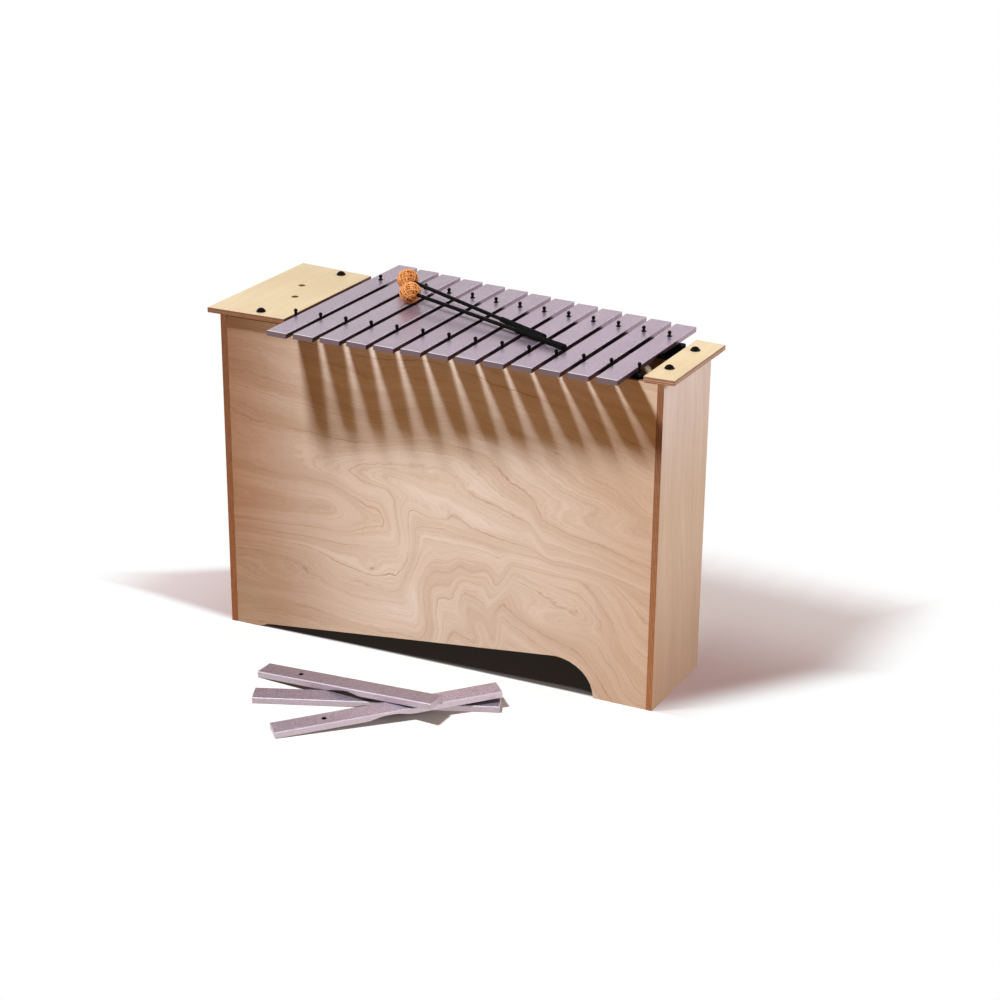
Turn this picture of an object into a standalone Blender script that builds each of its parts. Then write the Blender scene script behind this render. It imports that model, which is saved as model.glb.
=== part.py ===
"""Bass metallophone: thirteen loose metal bars over a tapered wooden resonator box.

Two mallets lie across the bars, and three spare bars lie stacked on the floor in front of the box.
The box's own frame has x along its length, y across it with the player at -y, and z up from the floor.
"""

import math

import bmesh
import bpy
from mathutils import Vector

for old in list(bpy.data.objects):
    bpy.data.objects.remove(old, do_unlink=True)

GAP = 0.0003  # between pieces that touch
SAME_POINT = 1e-6
CUT_PAST = 0.001  # how far a cutter runs past the face that it opens

# Resonator box, which tapers to the right
BOX_LENGTH = 0.860
DEPTH_LEFT = 0.300
DEPTH_RIGHT = 0.199
END_THICKNESS = 0.012
WALL_THICKNESS = 0.008
WALL_INSET = 0.001  # the front and back panels sit this far inside the end panels' edges

# Top boards
BOARD_TOP = 0.623
BOARD_THICKNESS = 0.0095
BOARD_EASE = 0.0006
LEFT_BOARD_WIDTH = 0.159
RIGHT_BOARD_WIDTH = 0.0565
OVERHANG_LEFT = 0.027
OVERHANG_RIGHT = 0.0185
OVERHANG_BACK = 0.019

# Two holes in the left board that take the mallets' shafts, from the box's left face and its middle line
STAND_HOLE_RADIUS = 0.0065
STAND_HOLE_BACK = (0.0500, 0.0460)
STAND_HOLE_FRONT = (0.0767, -0.0191)

# Opening along the foot of the front panel: a slanting start, a sloping top and a wide round right corner
OPENING_LEFT = 0.0614  # from the box's left face
OPENING_RIGHT = 0.1138  # from the box's right face
OPENING_START_RUN = 0.0160
OPENING_START_RISE = 0.0072
OPENING_RIGHT_RADIUS = 0.076
OPENING_SLOPE = 0.102
CORNER_STEPS = 8

# Sound chambers behind the panels: their sloping floor and the dividers, counted in bars from the left
FLOOR_THICKNESS = 0.006
FLOOR_CLEARANCE = 0.004  # over the opening's top edge
DIVIDER_THICKNESS = 0.006
DIVIDER_AFTER = (2.0, 5.5, 9.5)

# Tone bars
BAR_COUNT = 13
BAR_GAP = 0.0108
BAR_THICKNESS = 0.0095
BAR_CHAMFER = 0.0013
BAR_LONGEST = 0.459
BAR_SHORTEST = 0.327
BAR_LENGTH_DIP = 0.0048  # the middle bars are this much shorter than an even taper
BAR_TOP = 0.631
ROW_GAP_LEFT = 0.021  # from the left board to the first bar
ROW_GAP_RIGHT = 0.0194
BAR_HOLE_RADIUS = 0.0048

# The tuning cut under each bar and its still point, as shares of the bar's length from its middle
TUNING_START = 0.105
TUNING_RAMP = 0.085
TUNING_STEPS = 5
TUNING_DEPTH = 0.5  # a share of the bar's thickness
STILL_POINT = 0.276

# Rails, cushions and pins
RAIL_WIDTH = 0.016
RAIL_HEIGHT = 0.022
CUSHION_WIDTH = 0.011
FRONT_PIN_OFFSET = 0.0150  # from the box's outer face to the line of pins
REAR_PIN_OFFSET = 0.0125
FRONT_PIN_RADIUS = 0.0026
REAR_PIN_RADIUS = 0.0016
PIN_DEPTH = 0.016
PIN_RISE = 0.0068  # from the bars' top to the middle of a pin's bulb
BULB_RADIUS = 0.0036
NECK_RADIUS = 0.0024
SLEEVE_RADIUS = 0.0034
COLLAR_RADIUS = 0.0042
COLLAR_HEIGHT = 0.0010
COLLAR_SLOPE = 0.0014
PIN_SIDES = 10

# Dome-headed screws, from the box's left face, or from its middle line on the right board
SCREW_HEAD_RADIUS = 0.0089
SCREW_HEAD_HEIGHT = 0.0068
SCREW_RADIUS = 0.00175
SCREW_LENGTH = 0.026
LEFT_FRONT_SCREW = (0.0713, 0.0220)  # from the box's left face and from its front face
LEFT_BACK_SCREW = (0.0776, 0.0050)  # from the box's left face and from its back face
RIGHT_SCREW_FRONT = 0.0436
RIGHT_SCREW_BACK = 0.0648
RIGHT_SCREWS_FROM_END = 0.0040
CLEAT_WIDTH = 0.018
CLEAT_HEIGHT = 0.025

# Mallets: a ball head, a rod and a thickening grip
HEAD_RADIUS = 0.0203
MALLET_LENGTH = 0.3795  # from the head's middle to the grip's end
SHAFT_RADIUS = 0.0036
SHAFT_IN_HEAD = 0.013
GRIP_LENGTH = 0.116
GRIP_CAP = 0.010
GRIP_RADIUS_FRONT = 0.0050
GRIP_RADIUS_BACK = 0.0062
GRIP_ROUND = 0.0020
FRONT_MALLET_TURN = -15.5
FRONT_MALLET_PLACE = (0.2938, 0.0305)  # the head's middle, from the box's left face and its middle line
REAR_MALLET_TURN = -21.0
REAR_MALLET_PLACE = (0.2505, 0.0958)

# Spare bars on the floor, thicker than the others
SPARE_THICKNESS = 0.0115
SPARE_LONG = 0.4407
SPARE_MIDDLING = 0.4124
SPARE_SHORT = 0.3681

BIRCH = (0.78, 0.60, 0.44)
PALE_BIRCH = (0.86, 0.74, 0.52)
METAL = (0.60, 0.56, 0.60)
BLACK = (0.02, 0.02, 0.02)
YARN = (0.72, 0.40, 0.18)

BOARD_BOTTOM = BOARD_TOP - BOARD_THICKNESS
WALL_TOP = BOARD_BOTTOM - GAP
BAR_BOTTOM = BAR_TOP - BAR_THICKNESS
WALL_BACK = WALL_INSET + WALL_THICKNESS
BEHIND_WALL = WALL_BACK + GAP  # from the outer face to what stands against a panel
LEFT_FACE = -BOX_LENGTH / 2
RIGHT_FACE = BOX_LENGTH / 2
INSIDE_LEFT = LEFT_FACE + END_THICKNESS + GAP
INSIDE_RIGHT = RIGHT_FACE - END_THICKNESS - GAP
LEFT_BOARD_END = LEFT_FACE - OVERHANG_LEFT
LEFT_BOARD_EDGE = LEFT_BOARD_END + LEFT_BOARD_WIDTH
RIGHT_BOARD_END = RIGHT_FACE + OVERHANG_RIGHT
RIGHT_BOARD_EDGE = RIGHT_BOARD_END - RIGHT_BOARD_WIDTH
ROW_LEFT = LEFT_BOARD_EDGE + ROW_GAP_LEFT
ROW_RIGHT = RIGHT_BOARD_EDGE - ROW_GAP_RIGHT
BAR_WIDTH = (ROW_RIGHT - ROW_LEFT - (BAR_COUNT - 1) * BAR_GAP) / BAR_COUNT
BAR_PITCH = BAR_WIDTH + BAR_GAP
PIN_FOOT = WALL_TOP - PIN_DEPTH
SCREW_FOOT = BOARD_TOP + GAP - SCREW_LENGTH


class SpareBar:
    """A loose bar: the floor place of its left end's middle in front of the box, its turn and its length."""

    def __init__(self, name, x, in_front, turn, length, hole_side):
        self.name = name
        self.left_end = Vector((x, -DEPTH_LEFT / 2 - in_front))
        self.turn = math.radians(turn)
        self.length = length
        self.hole_side = hole_side
        self.pitch = 0.0
        self.along = Vector((math.cos(self.turn), math.sin(self.turn)))
        self.across = Vector((-self.along.y, self.along.x))

    def height_of_top(self, point):
        """The height of this bar's upper face over a point of the floor, or None beside the bar."""
        offset = point - self.left_end
        distance, side = offset.dot(self.along), offset.dot(self.across)
        if abs(side) > BAR_WIDTH / 2 or not 0 < distance < self.length * math.cos(self.pitch):
            return None
        return distance * math.tan(self.pitch) + SPARE_THICKNESS / math.cos(self.pitch)


SPARE_BOTTOM = SpareBar("spare_bar_bottom", -0.2133, 0.2503, 24.4, SPARE_LONG, 1)
SPARE_MIDDLE = SpareBar("spare_bar_middle", -0.1110, 0.3453, 45.6, SPARE_MIDDLING, -1)
SPARE_TOP = SpareBar("spare_bar_top", -0.2518, 0.1581, -1.4, SPARE_SHORT, -1)

# The model's origin is on the floor, at the middle of everything's outline seen from above
FRONT_MOST = SPARE_MIDDLE.left_end.y - BAR_WIDTH / 2 * SPARE_MIDDLE.across.y
SHIFT = Vector(((OVERHANG_LEFT - OVERHANG_RIGHT) / 2, -(BAR_LONGEST / 2 + FRONT_MOST) / 2, 0))


def half_depth(x):
    """Half the box's outer depth at x."""
    share = (x - LEFT_FACE) / BOX_LENGTH
    return (DEPTH_LEFT + (DEPTH_RIGHT - DEPTH_LEFT) * share) / 2


def bar_left(number):
    """The left edge of a bar, counted from 1 at the left."""
    return ROW_LEFT + (number - 1) * BAR_PITCH


def bar_length(number):
    share = (number - 1) / (BAR_COUNT - 1)
    dip = BAR_LENGTH_DIP * 4 * share * (1 - share)
    return BAR_LONGEST + (BAR_SHORTEST - BAR_LONGEST) * share - dip


def bar_middles():
    return [bar_left(number) + BAR_WIDTH / 2 for number in range(1, BAR_COUNT + 1)]


def gap_middles():
    """The middles of the gaps beside and between the bars, where the front pins stand."""
    return [bar_left(number) - BAR_GAP / 2 for number in range(1, BAR_COUNT + 2)]


def front_pins(x):
    """The place of the line of front pins at x, in front of the box's middle line."""
    return FRONT_PIN_OFFSET - half_depth(x)


def rear_pins(x):
    return half_depth(x) - REAR_PIN_OFFSET


def underside(distance, length, thickness):
    """How far the tuning cut lifts a bar's underside, at a distance from the bar's middle."""
    share = (TUNING_START - abs(distance) / length) / TUNING_RAMP
    share = min(max(share, 0.0), 1.0)
    return TUNING_DEPTH * thickness * share * share * (3 - 2 * share)


def finish(name, bm, colour, roughness, metallic=0.0, smooth=False):
    """Closes a mesh into a named object with its own material, placed in the model's frame."""
    bmesh.ops.remove_doubles(bm, verts=bm.verts, dist=SAME_POINT)
    bmesh.ops.recalc_face_normals(bm, faces=bm.faces)
    mesh = bpy.data.meshes.new(name)
    bm.to_mesh(mesh)
    bm.free()
    if smooth:
        mesh.shade_smooth()
        mesh.set_sharp_from_angle(angle=math.radians(40))
    material = bpy.data.materials.new(name)
    material.use_nodes = True
    shader = material.node_tree.nodes["Principled BSDF"]
    shader.inputs["Base Color"].default_value = (*colour, 1)
    shader.inputs["Roughness"].default_value = roughness
    shader.inputs["Metallic"].default_value = metallic
    mesh.materials.append(material)
    body = bpy.data.objects.new(name, mesh)
    bpy.context.scene.collection.objects.link(body)
    body.location = SHIFT
    return body


def skin(sections):
    """A closed mesh over a row of outlines that have the same number of points."""
    bm = bmesh.new()
    rings = [[bm.verts.new(point) for point in section] for section in sections]
    count = len(rings[0])
    for ring, following in zip(rings, rings[1:]):
        for i in range(count):
            bm.faces.new((ring[i], ring[(i + 1) % count], following[(i + 1) % count], following[i]))
    bm.faces.new(rings[0])
    bm.faces.new(reversed(rings[-1]))
    return bm


def plan_prism(outline, low, high):
    """An outline seen from above, from one height to another."""
    return skin([[(x, y, low) for x, y in outline], [(x, y, high) for x, y in outline]])


def wall_prism(side, outline, near, far):
    """An outline in x and z along the slanting front (-1) or back (+1) face, between two depths inside it."""
    sections = []
    for depth in (near, far):
        sections.append([(x, side * (half_depth(x) - depth), z) for x, z in outline])
    return skin(sections)


def rectangle(x0, x1, z0, z1):
    return [(x0, z0), (x1, z0), (x1, z1), (x0, z1)]


def turned(profile, sides, places=((0, 0),)):
    """A profile of radius and height, whose ends lie on the axis, spun round and stood at each place."""
    single = bmesh.new()
    verts = [single.verts.new((radius, 0, height)) for radius, height in profile]
    edges = [single.edges.new(pair) for pair in zip(verts, verts[1:])]
    bmesh.ops.spin(
        single,
        geom=verts + edges,
        axis=(0, 0, 1),
        cent=(0, 0, 0),
        angle=math.tau,
        steps=sides,
        use_merge=True,
    )
    pattern = bpy.data.meshes.new("pattern")
    single.to_mesh(pattern)
    single.free()
    bm = bmesh.new()
    for x, y in places:
        before = len(bm.verts)
        bm.from_mesh(pattern)
        bm.verts.ensure_lookup_table()
        bmesh.ops.translate(bm, verts=bm.verts[before:], vec=(x, y, 0))
    return bm


def column(radius, low, high):
    return [(0, low), (radius, low), (radius, high), (0, high)]


def combine(body, other, operation):
    """Cuts a helper shape out of a body, or joins it on, and hides the helper."""
    modifier = body.modifiers.new(other.name, "BOOLEAN")
    modifier.operation = operation
    modifier.object = other
    other.hide_render = True
    other.display_type = "WIRE"


def drill(body, purpose, places, radius, low, high, sides=16):
    """Round upright holes in a body at several places."""
    bits = turned(column(radius, low, high), sides, places)
    combine(body, finish(f"{body.name}_{purpose}", bits, BLACK, 0.5), "DIFFERENCE")


def opening_top(x):
    """The height of the front opening's sloping top edge at x."""
    start = LEFT_FACE + OPENING_LEFT + OPENING_START_RUN
    return OPENING_START_RISE + OPENING_SLOPE * (x - start)


def opening_outline():
    """The front opening's edge from its right foot over to its left foot."""
    right = RIGHT_FACE - OPENING_RIGHT
    left = LEFT_FACE + OPENING_LEFT
    rise = opening_top(right - OPENING_RIGHT_RADIUS)
    points = []
    for i in range(CORNER_STEPS + 1):
        angle = math.pi / 2 * i / CORNER_STEPS
        points.append((right - OPENING_RIGHT_RADIUS * (1 - math.cos(angle)), rise * math.sin(angle)))
    points += [(left + OPENING_START_RUN, OPENING_START_RISE), (left, 0)]
    return points


def make_end_panel(name, outer, inner):
    outline = [(outer, -half_depth(outer)), (inner, -half_depth(inner))]
    outline += [(inner, half_depth(inner)), (outer, half_depth(outer))]
    finish(name, plan_prism(outline, 0, WALL_TOP), BIRCH, 0.5)


def make_walls():
    """The front panel with its opening, and the closed back panel."""
    foot = [(INSIDE_LEFT, 0), (INSIDE_LEFT, WALL_TOP), (INSIDE_RIGHT, WALL_TOP), (INSIDE_RIGHT, 0)]
    front = wall_prism(-1, foot + opening_outline(), WALL_INSET, WALL_BACK)
    finish("front_panel", front, BIRCH, 0.5)
    return finish("back_panel", wall_prism(1, foot, WALL_INSET, WALL_BACK), BIRCH, 0.5)


def floor_underside(x):
    return opening_top(x) + FLOOR_CLEARANCE


def make_chamber_floor():
    """The sloping board that closes the sound chambers below, deeper for the long bars."""
    sections = []
    for x in (INSIDE_LEFT, INSIDE_RIGHT):
        y = half_depth(x) - BEHIND_WALL
        low = floor_underside(x)
        high = low + FLOOR_THICKNESS
        sections.append([(x, -y, low), (x, y, low), (x, y, high), (x, -y, high)])
    finish("chamber_floor", skin(sections), BIRCH, 0.6)


def make_divider(count, bars_before):
    """An upright board between two sound chambers, notched at its top corners for the rails."""
    x = ROW_LEFT - BAR_GAP / 2 + bars_before * BAR_PITCH
    left, right = x - DIVIDER_THICKNESS / 2, x + DIVIDER_THICKNESS / 2
    foot = floor_underside(right) + FLOOR_THICKNESS + GAP
    y = half_depth(right) - BEHIND_WALL
    step = y - RAIL_WIDTH - GAP
    notch = WALL_TOP - RAIL_HEIGHT - GAP
    outline = [(-y, foot), (y, foot), (y, notch), (step, notch), (step, WALL_TOP)]
    outline += [(-step, WALL_TOP), (-step, notch), (-y, notch)]
    sections = [[(face, y, z) for y, z in outline] for face in (left, right)]
    finish(f"chamber_divider_{count}", skin(sections), BIRCH, 0.6)


def make_rail(name, side):
    """A black rail along the inside of a panel's top edge, which carries the pins."""
    outline = rectangle(INSIDE_LEFT, INSIDE_RIGHT, WALL_TOP - RAIL_HEIGHT, WALL_TOP)
    shape = wall_prism(side, outline, BEHIND_WALL, BEHIND_WALL + RAIL_WIDTH)
    return finish(name, shape, BLACK, 0.6)


def bulb(neck):
    """The round head of a pin, from its top down to a neck of a given radius."""
    steps = PIN_SIDES // 2
    last = math.pi - math.asin(neck / BULB_RADIUS)
    points = []
    for i in range(steps + 1):
        angle = last * i / steps
        height = BAR_TOP + PIN_RISE + BULB_RADIUS * math.cos(angle)
        points.append((BULB_RADIUS * math.sin(angle), height))
    return points


def make_front_rail():
    """The front rail with its guide pins, which stand in the gaps between the bars."""
    rail = make_rail("front_rail", -1)
    profile = bulb(FRONT_PIN_RADIUS) + [(FRONT_PIN_RADIUS, PIN_FOOT), (0, PIN_FOOT)]
    pins = turned(profile, PIN_SIDES, [(x, front_pins(x)) for x in gap_middles()])
    combine(rail, finish("front_pins", pins, BLACK, 0.4, smooth=True), "UNION")
    return rail


def make_rear_rail():
    """The rear rail, with a blind hole under the middle of each bar for its pin."""
    rail = make_rail("rear_rail", 1)
    places = [(x, rear_pins(x)) for x in bar_middles()]
    drill(rail, "pin_holes", places, REAR_PIN_RADIUS + GAP, PIN_FOOT - GAP, WALL_TOP + CUT_PAST, 8)
    return rail


def make_rear_pin(number, x):
    """A pin through a bar's hole: stem, sleeve, flared collar on the bar, neck and bulb."""
    profile = bulb(NECK_RADIUS)
    profile.append((NECK_RADIUS, BAR_TOP + COLLAR_HEIGHT + COLLAR_SLOPE))
    profile.append((COLLAR_RADIUS, BAR_TOP + COLLAR_HEIGHT))
    profile.append((COLLAR_RADIUS, BAR_TOP))
    profile.append((SLEEVE_RADIUS, BAR_TOP - COLLAR_HEIGHT))
    profile.append((SLEEVE_RADIUS, BAR_BOTTOM + COLLAR_HEIGHT))
    profile.append((REAR_PIN_RADIUS, BAR_BOTTOM))
    profile += [(REAR_PIN_RADIUS, PIN_FOOT), (0, PIN_FOOT)]
    pin = finish(f"rear_pin_{number:02d}", turned(profile, PIN_SIDES), BLACK, 0.4, smooth=True)
    pin.location = SHIFT + Vector((x, rear_pins(x), 0))


def make_cushion(name, side, offset, pins, pin_radius):
    """A soft strip on a rail that the bars rest on, pierced by the pins."""
    outline = rectangle(ROW_LEFT - BAR_GAP, ROW_RIGHT + BAR_GAP, WALL_TOP + GAP, BAR_BOTTOM - GAP)
    near = offset - CUSHION_WIDTH / 2
    cushion = finish(name, wall_prism(side, outline, near, near + CUSHION_WIDTH), BLACK, 0.9)
    drill(cushion, "pin_holes", pins, pin_radius + GAP, WALL_TOP, BAR_BOTTOM + CUT_PAST, 8)


def make_board(name, near, far, screws):
    """A top board, flush with the box in front, overhanging it behind, with its edges eased."""
    outline = [(near, -half_depth(near)), (far, -half_depth(far))]
    outline += [(far, half_depth(far) + OVERHANG_BACK), (near, half_depth(near) + OVERHANG_BACK)]
    board = finish(name, plan_prism(outline, BOARD_BOTTOM, BOARD_TOP), PALE_BIRCH, 0.45)
    ease = board.modifiers.new("ease", "BEVEL")
    ease.width = BOARD_EASE
    ease.segments = 1
    drill(board, "screw_holes", screws, SCREW_RADIUS + GAP, BOARD_BOTTOM - CUT_PAST, BOARD_TOP + CUT_PAST, 8)
    return board


def make_screw(name, place):
    """A black screw whose round head lies on a board."""
    foot = BOARD_TOP + GAP
    ball = (SCREW_HEAD_RADIUS ** 2 + SCREW_HEAD_HEIGHT ** 2) / (2 * SCREW_HEAD_HEIGHT)
    spread = math.acos(1 - SCREW_HEAD_HEIGHT / ball)
    profile = []
    for i in range(6):
        angle = spread * i / 5
        profile.append((ball * math.sin(angle), foot + SCREW_HEAD_HEIGHT - ball * (1 - math.cos(angle))))
    profile += [(SCREW_RADIUS, foot), (SCREW_RADIUS, SCREW_FOOT), (0, SCREW_FOOT)]
    screw = finish(name, turned(profile, 16), BLACK, 0.25, smooth=True)
    screw.location = SHIFT + Vector((*place, 0))


def make_left_board(front_rail, back_panel):
    """The wide board at the long bars' end, with a screw in front and behind and two holes for mallets."""
    across, inside = LEFT_FRONT_SCREW
    front = (LEFT_FACE + across, inside - half_depth(LEFT_FACE + across))
    across, inside = LEFT_BACK_SCREW
    back = (LEFT_FACE + across, half_depth(LEFT_FACE + across) - inside)
    board = make_board("left_top_board", LEFT_BOARD_END, LEFT_BOARD_EDGE, [front, back])
    holes = [(LEFT_FACE + across, y) for across, y in (STAND_HOLE_BACK, STAND_HOLE_FRONT)]
    drill(board, "stand_holes", holes, STAND_HOLE_RADIUS, BOARD_BOTTOM - CUT_PAST, BOARD_TOP + CUT_PAST, 20)
    for under, name, place in ((front_rail, "front", front), (back_panel, "back", back)):
        drill(under, "screw_hole", [place], SCREW_RADIUS + GAP, SCREW_FOOT - GAP, WALL_TOP + CUT_PAST, 8)
        make_screw(f"left_board_screw_{name}", place)


def make_right_board():
    """The narrow board at the short bars' end, screwed into a cleat on the end panel."""
    x = INSIDE_RIGHT - RIGHT_SCREWS_FROM_END
    front, back = (x, -RIGHT_SCREW_FRONT), (x, RIGHT_SCREW_BACK)
    make_board("right_top_board", RIGHT_BOARD_EDGE, RIGHT_BOARD_END, [front, back])
    near, far = INSIDE_RIGHT - CLEAT_WIDTH, INSIDE_RIGHT
    reach = half_depth(far) - BEHIND_WALL - RAIL_WIDTH - GAP
    outline = [(near, -reach), (far, -reach), (far, reach), (near, reach)]
    cleat = finish("right_cleat", plan_prism(outline, WALL_TOP - CLEAT_HEIGHT, WALL_TOP), BIRCH, 0.6)
    drill(cleat, "screw_holes", [front, back], SCREW_RADIUS + GAP, SCREW_FOOT - GAP, WALL_TOP + CUT_PAST, 8)
    make_screw("right_board_screw_front", front)
    make_screw("right_board_screw_back", back)


def make_bar(name, length, thickness, hole):
    """A tone bar along its own y: chamfered on top, thinned under its middle, with one hole."""
    half, edge = BAR_WIDTH / 2, BAR_CHAMFER
    shares = [0.5]
    shares += [TUNING_START - TUNING_RAMP * i / TUNING_STEPS for i in range(TUNING_STEPS + 1)]
    stations = [-share * length for share in shares] + [share * length for share in reversed(shares)]
    sections = []
    for y in stations:
        low, high = underside(y, length, thickness), thickness
        outline = [(-half, low), (half, low), (half, high - edge), (half - edge, high)]
        outline += [(-half + edge, high), (-half, high - edge)]
        sections.append([(x, y, z) for x, z in outline])
    bar = finish(name, skin(sections), METAL, 0.45, 0.9)
    bit = turned(column(BAR_HOLE_RADIUS, -CUT_PAST, thickness + CUT_PAST), 16, [(0, hole)])
    cutter = finish(name + "_hole", bit, BLACK, 0.5)
    cutter.parent = bar
    cutter.location = (0, 0, 0)
    combine(bar, cutter, "DIFFERENCE")
    return bar


def make_tone_bars():
    for number, x in enumerate(bar_middles(), 1):
        bar = make_bar(f"tone_bar_{number:02d}", bar_length(number), BAR_THICKNESS, rear_pins(x))
        bar.location = SHIFT + Vector((x, 0, BAR_BOTTOM))


def rest_pitch(upper, lower_bars):
    """The tilt at which a bar with its left end on the floor rests on the bars below it."""
    steps, tracks = 240, 8
    steepest = 0.0
    for i in range(1, steps + 1):
        distance = upper.length * i / steps
        lift = underside(distance - upper.length / 2, upper.length, SPARE_THICKNESS)
        for j in range(tracks + 1):
            side = BAR_WIDTH * (j / tracks - 0.5)
            point = upper.left_end + upper.along * distance + upper.across * side
            tops = [lower.height_of_top(point) for lower in lower_bars]
            for top in tops:
                if top is not None:
                    steepest = max(steepest, (top + GAP - lift) / distance)
    return math.atan(steepest)


def make_spare_bars():
    """Three spare bars: one flat on the floor, one leaning on it, and one leaning on both."""
    SPARE_MIDDLE.pitch = rest_pitch(SPARE_MIDDLE, [SPARE_BOTTOM])
    SPARE_TOP.pitch = rest_pitch(SPARE_TOP, [SPARE_BOTTOM, SPARE_MIDDLE])
    for spare in (SPARE_BOTTOM, SPARE_MIDDLE, SPARE_TOP):
        half = spare.length / 2
        hole = spare.hole_side * STILL_POINT * spare.length
        bar = make_bar(spare.name, spare.length, SPARE_THICKNESS, hole)
        middle = spare.left_end + spare.along * half * math.cos(spare.pitch)
        bar.location = SHIFT + Vector((*middle, half * math.sin(spare.pitch)))
        bar.rotation_euler = (spare.pitch, 0, spare.turn - math.pi / 2)


def grip_radius(distance):
    """The grip's radius at a distance from the head's middle."""
    share = (distance - MALLET_LENGTH + GRIP_LENGTH) / GRIP_LENGTH
    return GRIP_RADIUS_FRONT + (GRIP_RADIUS_BACK - GRIP_RADIUS_FRONT) * share


def last_rest(x, turn):
    """How far from the head a mallet last touches a bar, at the grip's end or the bar's edge before it."""
    reach = MALLET_LENGTH - GRIP_ROUND
    end = x + reach * math.cos(turn)
    lefts = [bar_left(number) for number in range(1, BAR_COUNT + 1) if bar_left(number) < end]
    edge = min(end, max(lefts) + BAR_WIDTH)
    return (edge - x) / math.cos(turn)


def make_mallet(name, place, degrees):
    """A mallet that lies on the bars, with its own z running from the head to the grip's end."""
    x, y = LEFT_FACE + place[0], place[1]
    turn = math.radians(degrees)
    rest = last_rest(x, turn)
    radius = grip_radius(rest)
    drop = math.asin(HEAD_RADIUS / math.hypot(rest, radius)) - math.atan2(radius, rest)
    level = math.cos(drop)
    direction = Vector((math.cos(turn) * level, math.sin(turn) * level, -math.sin(drop)))

    bore = SHAFT_RADIUS + GAP
    mouth = math.acos(bore / HEAD_RADIUS)
    bottom = HEAD_RADIUS * math.sin(mouth) - SHAFT_IN_HEAD
    head = [(0, bottom), (bore, bottom)]
    rings = 12
    for i in range(rings + 1):
        angle = mouth - (mouth + math.pi / 2) * i / rings
        head.append((HEAD_RADIUS * math.cos(angle), HEAD_RADIUS * math.sin(angle)))

    rod_end = MALLET_LENGTH - GRIP_CAP
    rod = column(SHAFT_RADIUS, bottom + GAP, rod_end)

    start, end = MALLET_LENGTH - GRIP_LENGTH, MALLET_LENGTH
    grip = [(0, rod_end + GAP), (bore, rod_end + GAP), (bore, start)]
    grip.append(((GRIP_RADIUS_FRONT + bore) / 2, start))
    grip.append((grip_radius(start + GRIP_ROUND), start + GRIP_ROUND))
    grip.append((grip_radius(end - GRIP_ROUND), end - GRIP_ROUND))
    grip += [(GRIP_RADIUS_BACK - GRIP_ROUND / 3, end - GRIP_ROUND / 3), (GRIP_RADIUS_BACK - GRIP_ROUND, end)]
    grip.append((0, end))

    pieces = (("head", head, YARN, 0.95, 24), ("shaft", rod, BLACK, 0.35, 14), ("grip", grip, BLACK, 0.6, 14))
    for piece, profile, colour, roughness, sides in pieces:
        body = finish(f"{name}_{piece}", turned(profile, sides), colour, roughness, smooth=True)
        body.location = SHIFT + Vector((x, y, BAR_TOP + GAP + HEAD_RADIUS))
        body.rotation_mode = "QUATERNION"
        body.rotation_quaternion = direction.to_track_quat("Z", "Y")


make_end_panel("left_end_panel", LEFT_FACE, LEFT_FACE + END_THICKNESS)
make_end_panel("right_end_panel", RIGHT_FACE, RIGHT_FACE - END_THICKNESS)
back_panel = make_walls()
make_chamber_floor()
for divider, bars_to_its_left in enumerate(DIVIDER_AFTER, 1):
    make_divider(divider, bars_to_its_left)
make_left_board(make_front_rail(), back_panel)
make_rear_rail()
make_right_board()
places = [(x, front_pins(x)) for x in gap_middles()]
make_cushion("front_cushion", -1, FRONT_PIN_OFFSET, places, FRONT_PIN_RADIUS)
places = [(x, rear_pins(x)) for x in bar_middles()]
make_cushion("rear_cushion", 1, REAR_PIN_OFFSET, places, REAR_PIN_RADIUS)
for pin_number, middle in enumerate(bar_middles(), 1):
    make_rear_pin(pin_number, middle)
make_tone_bars()
make_spare_bars()
make_mallet("front_mallet", FRONT_MALLET_PLACE, FRONT_MALLET_TURN)
make_mallet("rear_mallet", REAR_MALLET_PLACE, REAR_MALLET_TURN)
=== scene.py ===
import math
import random

import bpy
from mathutils import Euler, Matrix, Vector


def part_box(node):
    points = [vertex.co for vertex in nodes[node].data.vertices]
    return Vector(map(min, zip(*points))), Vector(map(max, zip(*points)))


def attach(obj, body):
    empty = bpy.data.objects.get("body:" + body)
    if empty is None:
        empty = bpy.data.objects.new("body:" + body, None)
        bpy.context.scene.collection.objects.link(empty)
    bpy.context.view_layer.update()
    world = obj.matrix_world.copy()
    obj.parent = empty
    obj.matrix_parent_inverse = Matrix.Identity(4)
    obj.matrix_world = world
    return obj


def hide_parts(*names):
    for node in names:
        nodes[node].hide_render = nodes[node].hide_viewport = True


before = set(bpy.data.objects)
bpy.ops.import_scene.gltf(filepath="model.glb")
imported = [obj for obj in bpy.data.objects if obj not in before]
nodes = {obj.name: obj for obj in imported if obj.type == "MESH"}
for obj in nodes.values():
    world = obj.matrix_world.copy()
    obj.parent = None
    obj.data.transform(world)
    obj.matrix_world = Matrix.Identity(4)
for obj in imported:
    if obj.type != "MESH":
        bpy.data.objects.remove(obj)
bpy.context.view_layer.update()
scene = bpy.context.scene


# Camera: a short telephoto view from the front right and a little above the bars, where the
# photograph was taken. Its turn is azimuth, then elevation, then a slight roll.
lens = bpy.data.cameras.new("camera")
lens.sensor_width = 36
lens.lens = 83.04
camera = bpy.data.objects.new("camera", lens)
scene.collection.objects.link(camera)
azimuth, elevation, roll = math.radians(-62.081), math.radians(22.557), math.radians(0.549)
turn = Matrix.Rotation(azimuth + math.pi / 2, 4, "Z")
turn = turn @ Matrix.Rotation(math.pi / 2 - elevation, 4, "X") @ Matrix.Rotation(roll, 4, "Z")
camera.matrix_world = Matrix.Translation((1.89515, -3.29914, 1.9124)) @ turn
scene.camera = camera


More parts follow.
